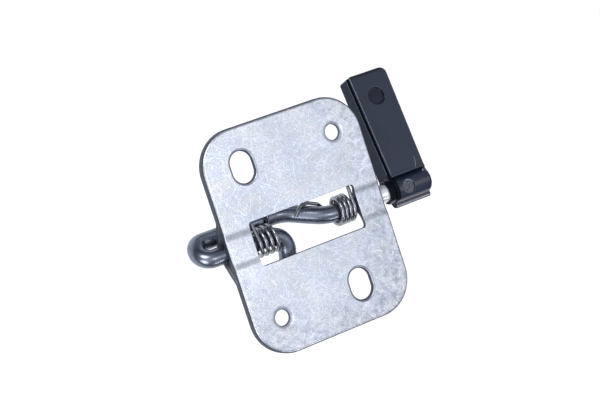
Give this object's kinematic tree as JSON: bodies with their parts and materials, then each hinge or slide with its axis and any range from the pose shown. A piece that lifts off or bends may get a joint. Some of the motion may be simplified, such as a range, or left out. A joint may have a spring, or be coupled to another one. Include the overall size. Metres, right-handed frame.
{
  "type": "hood latch",
  "caption": "Sprung safety hook latch: a bent round bar turns in a two-sheet steel plate and is lifted by a moulded side handle.",
  "frame": {"origin": "centre of the front sheet's flat outer face, the face that lies against the panel", "axes": "+X along the pivot towards the handle, +Y towards the handle's tip, +Z out of the plate's front face; the hook hangs towards -Z"},
  "size_m": [0.1042, 0.0913, 0.0465],
  "materials": {
    "plate_steel": "zinc plated, satin",
    "bar_steel": "plated, smooth",
    "spring_steel": "drawn wire",
    "black_plastic": "moulded, satin"
  },
  "bodies": {
    "base": {"top_plate": "plate_steel", "bottom_plate": "plate_steel", "left_spring": "spring_steel", "right_spring": "spring_steel"},
    "hook": {"catch_bar": "bar_steel", "handle": "black_plastic"}
  },
  "joints": [
    {"name": "hook_pivot", "type": "hinge", "parent": "base", "child": "hook", "pos_m": [0, -0.0003, -0.00605], "axis": [1, 0, 0], "range_deg": [0, 12], "stiffness_Nm_per_rad": 0.96, "springref_deg": -20.05, "deforming": ["left_spring", "right_spring"]}
  ]
}
